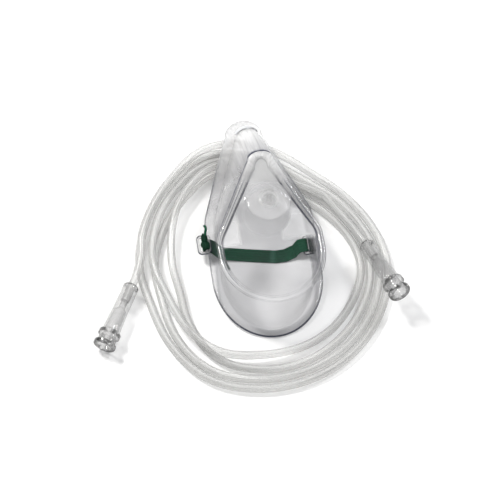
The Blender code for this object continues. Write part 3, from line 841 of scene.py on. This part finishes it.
adapter = {
    "clearance": 0.0003, "flange": 0.0078, "flangeWall": 0.0016, "hub": 0.0055, "hubHeight": 0.0045,
    "tip": 0.0034, "height": 0.013, "bore": 0.002, "tail": 0.005,
    "corners": (
        ("bore", "top", 0.0), ("tip", "top", 0.3, -0.0005, 0.0), ("tip", "top", 0.3, 0.0, -0.001),
        ("tip", "top", 0.0, -0.0005, -0.0045), ("hub", "hubTop", 0.4), ("hub", "flangeTop", 0.2, 0.0, 0.0005),
        ("flange", "flangeTop", 0.2, -0.0002, 0.0), ("flange", "flangeTop", 0.3, 0.0, -0.0002),
        ("flange", "seat", 0.3), ("neck", "seat", 0.0), ("neck", "tailEnd", 0.2), ("bore", "tailEnd", 0.0))}


def makeAdapter(finish):
    seat = mask["snoutHeight"] + adapter["clearance"]
    sizes = {**adapter, "seat": seat, "top": seat + adapter["height"], "hubTop": seat + adapter["hubHeight"],
             "flangeTop": seat + adapter["flangeWall"], "tailEnd": seat - adapter["tail"],
             "neck": mask["port"] - adapter["clearance"]}
    middle = leaned(0.0, snoutAt, mask["snoutHeight"]) - Vector((0.0, 0.0, mask["snoutHeight"]))
    place = onTable @ Matrix.Translation(middle)
    made = turnedBody("portAdapter", adapter["corners"], sizes, finish, place)
    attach(made, "root")
    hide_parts("port_adapter")


# the elastic strap

strap = {
    "width": 0.0104, "wall": 0.0008, "clearance": 0.0003, "drop": 0.006, "inSlot": 0.4,
    "ribs": 9, "ribHeight": 0.00012, "thinEdge": 0.55, "across": 36, "steps": 14, "sharp": 50.0,
    "straight": range(4, 11), "curveLeft": 0.15,  # stretches under the mask, nearly straight
    "lows": (  # share of the rim's half width, place along the mask, lift
        (-0.7235, 0.0715, 0.0008), (-0.31, 0.0682, 0.0), (0.0, 0.0657, 0.0),
        (0.23, 0.064, 0.0), (0.405, 0.064, 0.0003), (0.57, 0.0659, 0.0013)),
    "knots": (  # size, place beside the slot's middle, turn
        ((0.0066, 0.0078, 0.0034), (-0.002, 0.0016), radians(17.0)),
        ((0.0044, 0.008, 0.0031), (-0.0018, -0.0038), radians(6.0))),
    "endSteps": 8, "endAcross": 4,
    "looseEnd": (0.0018, 0.0014, (  # width, thickness, points
        (0.0, 0.0, 0.0), (0.0012, 0.004, 0.001), (0.002, 0.0072, 0.0012), (0.0014, 0.01, 0.0008))),
    "thread": (0.0015, 0.0007, (
        (0.0, 0.0, 0.0), (-0.0002, -0.004, -0.0002), (0.0008, -0.0085, -0.0006),
        (0.0022, -0.013, -0.0006)))}

knotForm = {
    "segments": 40, "rings": 24, "ridges": 0.05, "folds": 0.03, "alongX": 11.0, "alongZ": 5.0,
    "foldTurns": 2.3, "foldY": 9.0, "seeds": (0.0, 2.0)}


def eased(before, here, after, beyond, t):
    # Catmull-Rom: a smooth way from here to after
    return 0.5 * (2.0 * here + (after - before) * t
                  + (2.0 * before - 5.0 * here + 4.0 * after - beyond) * t * t
                  + (3.0 * here - before - 3.0 * after + beyond) * t ** 3)


def spline(points, steps, straight=()):
    # A smooth curve through the points; the stretches named in straight run almost straight.
    ends = [points[0] * 2.0 - points[1]] + list(points) + [points[-1] * 2.0 - points[-2]]
    route = []
    for stretch, near in enumerate(zip(ends, ends[1:], ends[2:], ends[3:])):
        for step in range(steps):
            place = eased(*near, step / steps)
            if stretch in straight:
                place = near[1].lerp(near[2], step / steps).lerp(place, strap["curveLeft"])
            route.append(place)
    return route + [points[-1]]


def lowPoint(share, station, lift):
    return Vector((share * rim.halfWidth, station, strap["wall"] / 2.0 + strap["clearance"] + lift))


def strapRoute():
    gap, wall = strap["clearance"], ear["wall"]
    lift = strap["wall"] / 2.0 + gap
    left, right = earFrame(-1), earFrame(1)
    out, back = slotMiddle(-1), slotMiddle(1)
    start = [left @ Vector(place) for place in (
        (out, 0.0, 2.0 * wall), (out, 0.0, wall / 2.0), (out - ear["slot"] * strap["inSlot"], 0.0, -wall),
        (out - strap["drop"], 0.0, -2.0 * wall + gap))]
    middle = [lowPoint(*place) for place in strap["lows"]]
    end = [right @ Vector(place) for place in (
        (ear["reach"][1] + ear["slotRim"], 0.0, -lift - gap), (back + ear["slot"] / 2.0, 0.0, -lift - gap),
        (back, 0.0, wall / 2.0), (back - ear["slot"] / 2.0, 0.0, wall + lift + gap),
        (2.0 * gap, 0.0, wall + lift))]
    sides = [-left.col[1].to_3d()] * len(start) + [Vector((0.0, 1.0, 0.0))] * len(middle)
    return start + middle + end, sides + [right.col[1].to_3d()] * len(end)


def travelled(route):
    # each point with the way ahead there and the distance from the start
    distance = 0.0
    for here, middle in enumerate(route):
        ahead = (route[min(here + 1, len(route) - 1)] - route[max(here - 1, 0)]).normalized()
        if here:
            distance += (middle - route[here - 1]).length
        yield middle, ahead, distance


def ribbon(route, sides, width, wall, across, ribHeight):
    # Flat band with fine lengthwise ribs on both faces, and a UV map that runs along it.
    rings, stations = [], []
    shares = [step / across for step in range(across + 1)]
    for (middle, ahead, distance), outward in zip(travelled(route), sides):
        side = (outward - ahead * outward.dot(ahead)).normalized()
        normal = side.cross(ahead)
        stations.append(distance)
        ring = []
        for share, face in [(share, -1.0) for share in reversed(shares)] + [(share, 1.0) for share in shares]:
            edge = min(share, 1.0 - share) * across
            swell = strap["thinEdge"] if edge < 0.5 else 1.0
            height = wall / 2.0 * swell - ribHeight * (0.5 + 0.5 * cos(tau * share * strap["ribs"]))
            ring.append(middle + side * (share - 0.5) * width + normal * face * height)
        rings.append(ring)
    count = 2 * (across + 1)

    def woven(ring, column):
        column %= count
        share = (across - column if column <= across else column - across - 1) / across
        return stations[ring], share * width

    return loft(rings, True, woven)


def lump(centre, size, turn, seed):
    # A knot: a rounded lump with a few turns of the band showing as soft ridges.
    work = bmesh.new()
    bmesh.ops.create_uvsphere(work, u_segments=knotForm["segments"], v_segments=knotForm["rings"], radius=0.5)
    for vertex in work.verts:
        along = vertex.co.x * knotForm["alongX"] + vertex.co.z * knotForm["alongZ"] + seed
        folds = sin(along * knotForm["foldTurns"] + vertex.co.y * knotForm["foldY"])
        vertex.co *= 1.0 + knotForm["ridges"] * sin(along) + knotForm["folds"] * folds
    work.transform(Matrix.Translation(centre) @ Matrix.Rotation(turn, 4, "Z") @ Matrix.Diagonal((*size, 1.0)))
    layer = work.loops.layers.uv.new("form")
    for face in work.faces:
        for loop in face.loops:
            loop[layer].uv = loop.vert.co.yx
    return work


def thinEnd(start, width, wall, points):
    route = spline([start + Vector(point) for point in points], strap["endSteps"])
    return ribbon(route, [Vector((1.0, 0.0, 0.0))] * len(route), width, wall, strap["endAcross"], 0.0)


def joined(pieces):
    # Closed bodies of one piece in one mesh: (body, material index).
    whole = bmesh.new()
    for work, index in pieces:
        for face in work.faces:
            face.material_index = index
        spare = bpy.data.meshes.new("spare")
        work.to_mesh(spare)
        work.free()
        whole.from_mesh(spare)
        bpy.data.meshes.remove(spare)
    return whole


def makeStrap(finish, knotFinish):
    route, sides = strapRoute()
    steps = strap["steps"]
    band = ribbon(spline(route, steps, strap["straight"]), spline(sides, steps), strap["width"],
                  strap["wall"], strap["across"], strap["ribHeight"])
    left, out, gap = earFrame(-1), slotMiddle(-1), strap["clearance"]
    onEar = ear["wall"] + gap + strap["knots"][0][0][2] / 2.0
    pieces, knots = [(band, 0)], []
    for number, (size, (along, across), turn) in enumerate(strap["knots"]):
        knots.append(left @ Vector((out + along, across, onEar + number * gap)))
        pieces.append((lump(knots[-1], size, turn, knotForm["seeds"][number]), 1))
    pieces.append((thinEnd(knots[-1], *strap["looseEnd"]), 0))
    pieces.append((thinEnd(lowPoint(*strap["lows"][0]), *strap["thread"]), 1))
    made = meshPiece("headStrap", joined(pieces), finish, onTable)
    made.data.materials.append(knotFinish)
    made.data.set_sharp_from_angle(angle=radians(strap["sharp"]))
    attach(made, "root")
    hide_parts("head_strap")
    print("strap made")


# the supply tubing

tube = {
    "radius": 0.0029, "gap": 0.00005, "middle": (0.00246, -0.02757), "points": 84, "turns": 4.36,
    "firstPoint": 3, "leadSteps": 8, "ringGap": 0.0035, "sides": 28, "sharp": 60.0,
    "insert": 0.013, "clearance": 0.0003,
    "reach": (  # from the middle, clockwise from the left
        0.0891, 0.0916, 0.0971, 0.1046, 0.0955, 0.0841, 0.0826, 0.0846,
        0.0886, 0.0906, 0.0936, 0.0966, 0.0986, 0.0991, 0.0921, 0.0866),
    "stations": 8,
    "lanes": (  # inward and up in mm, at the stations of each turn
        ((0.0, 6.4), (1.0, 6.4), (0.0, 5.4), (0.0, 0.0), (0.0, 0.0), (0.0, 0.0), (0.0, 0.0), (0.0, 0.0)),
        ((0.0, 0.0), (0.0, 0.0), (7.0, 0.0), (6.8, 0.0), (6.5, 0.0), (6.6, 0.0), (7.4, 0.0), (6.6, 0.0)),
        ((11.2, 0.0), (16.5, 0.0), (21.5, 0.0), (20.5, 0.0), (19.4, 0.0), (23.5, 0.0), (24.0, 4.6),
         (15.5, 6.4)),
        ((9.9, 6.4), (7.0, 0.8), (14.0, 0.0), (13.3, 0.0), (12.9, 0.0), (14.0, 0.0), (14.8, 0.0),
         (19.8, 0.0)),
        ((23.5, 2.6), (16.5, 6.6), (19.0, 6.4), (11.0, 6.4), (7.0, 8.0)))}

connector = {
    "length": 0.0515, "body": 0.0056, "collar": 0.0079, "mouth": 0.0081, "socket": 0.0054,
    "neck": 0.0024, "collarAt": 0.04,
    "leftEntry": Vector((-0.0913, -0.048, 0.0086)), "leftAim": Vector((-0.0191, -0.0508, -0.0002)),
    "rightEntry": Vector((0.0754, -0.0162, 0.0125)), "rightAim": Vector((0.0221, -0.0444, 0.01)),
    "leftLead": Vector((-0.0853, -0.0243, 0.0092)), "leftStraight": 0.008, "rightStraight": 0.01,
    "corners": (
        ("bore", "start", 0.2), ("bore", "insert", 0.5), ("neck", "insert", 0.8, 0.0, 0.0002),
        ("neck", "insert", 0.3, 0.0, 0.006), ("socket", "insert", 0.0, -0.0008, 0.0086),
        ("socket", "length", 0.1, 0.0, -0.001), ("socket", "length", 0.7),
        ("mouth", "length", 1.0, -0.0008, 0.0), ("mouth", "length", 1.0, -0.0002, -0.0003),
        ("mouth", "length", 1.0, 0.0, -0.0008),
        ("mouth", "length", 0.9, 0.0, -0.0026), ("mouth", "length", 0.6, -0.0016, -0.0034),
        ("mouth", "collarAt", 0.2, -0.0016, 0.0034), ("collar", "collarAt", 0.9, 0.0, 0.0026),
        ("collar", "collarAt", 0.9), ("body", "collarAt", 0.2, 0.0008, -0.0016), ("body", "halfway", 0.05),
        ("body", "start", 0.1, 0.0, 0.0032), ("body", "start", 0.9, 0.0, 0.001),
        ("body", "start", 1.0, -0.0008, 0.0))}


def coilPoint(turns):
    lanes = [Vector(lane) * 0.001 for row in tube["lanes"] for lane in row]
    place = turns * tube["stations"]
    here = min(int(place), len(lanes) - 2)
    near = [lanes[min(max(here + step, 0), len(lanes) - 1)] for step in (-1, 0, 1, 2)]
    inward, lift = eased(*near, place - here)
    reaches = tube["reach"]
    station = turns % 1.0 * len(reaches)
    near = [reaches[(int(station) + step) % len(reaches)] for step in (-1, 0, 1, 2)]
    reach = eased(*near, station - int(station)) - inward
    angle = pi - tau * turns
    return Vector((tube["middle"][0] + reach * cos(angle), tube["middle"][1] + reach * sin(angle),
                   tube["radius"] + tube["gap"] + max(lift, 0.0)))


def tubeRoute():
    count, steps = tube["points"], tube["leadSteps"]
    coil = [coilPoint(step / count) for step in range(tube["firstPoint"], int(tube["turns"] * count) + 1)]
    ends = []
    for side in ("left", "right"):
        entry, aim = connector[side + "Entry"], connector[side + "Aim"].normalized()
        inside = entry + aim * (tube["insert"] - tube["clearance"])
        ends.append([inside, entry, entry - aim * connector[side + "Straight"]])
    lead = spline([*ends[0], connector["leftLead"], coil[0]], steps)
    tail = spline([coil[-1], *ends[1][::-1]], steps)
    return lead[:-1] + coil + tail[1:]


def evenly(route, gap):
    # The same route with its points a fixed distance apart, so rings and UVs are regular.
    spread, left = [route[0]], gap
    for here, after in zip(route, route[1:]):
        length = (after - here).length
        while left < length:
            spread.append(here.lerp(after, left / length))
            left += gap
        left -= length
    return spread + [route[-1]]


def sweep(route, radius, sides):
    # The UV map runs along the tube in metres and once round it, with its top at a quarter.
    rings, stations = [], []
    turns = [tau * step / sides for step in range(sides)]
    for middle, ahead, distance in travelled(route):
        across = ahead.cross(upward).normalized()
        normal = across.cross(ahead)
        rings.append([middle + radius * (across * cos(turn) + normal * sin(turn)) for turn in turns])
        stations.append(distance)
    work = loft(rings, True, lambda ring, column: (stations[ring], column / sides))
    bmesh.ops.recalc_face_normals(work, faces=work.faces)
    return work


def makeTube(finish):
    route = evenly(tubeRoute(), tube["ringGap"])
    made = meshPiece("supplyTube", sweep(route, tube["radius"], tube["sides"]), finish)
    settled(made, finish, tube["sharp"])
    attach(made, "root")
    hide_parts("oxygen_tube")


def makeConnector(side, name, node, finish):
    sizes = {**connector, "start": 0.0, "insert": tube["insert"], "bore": tube["radius"] + tube["clearance"],
             "halfway": connector["collarAt"] * 0.5}
    turn = upward.rotation_difference(connector[side + "Aim"])
    place = Matrix.Translation(connector[side + "Entry"]) @ turn.to_matrix().to_4x4()
    made = turnedBody(name, connector["corners"], sizes, finish, place)
    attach(made, "root")
    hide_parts(node)
    return made


placeCamera()
placeLamps()
lightRoom()
print("room lit")
makeShell(shellFinish())
makeClip(clipFinish())
makeAdapter(hardFinish("clearAdapterVinyl"))
makeStrap(elasticFinish("greenElastic"), elasticFinish("shadedElastic"))
fittingFinish = hardFinish("clearFittingVinyl")
ends = [makeConnector("left", "leftConnector", "tube_connector_left", fittingFinish),
        makeConnector("right", "rightConnector", "tube_connector_right", fittingFinish)]
print("fittings made")
makeTube(tubeFinish())
scene.view_settings.view_transform = "Standard"

print("all pieces made")
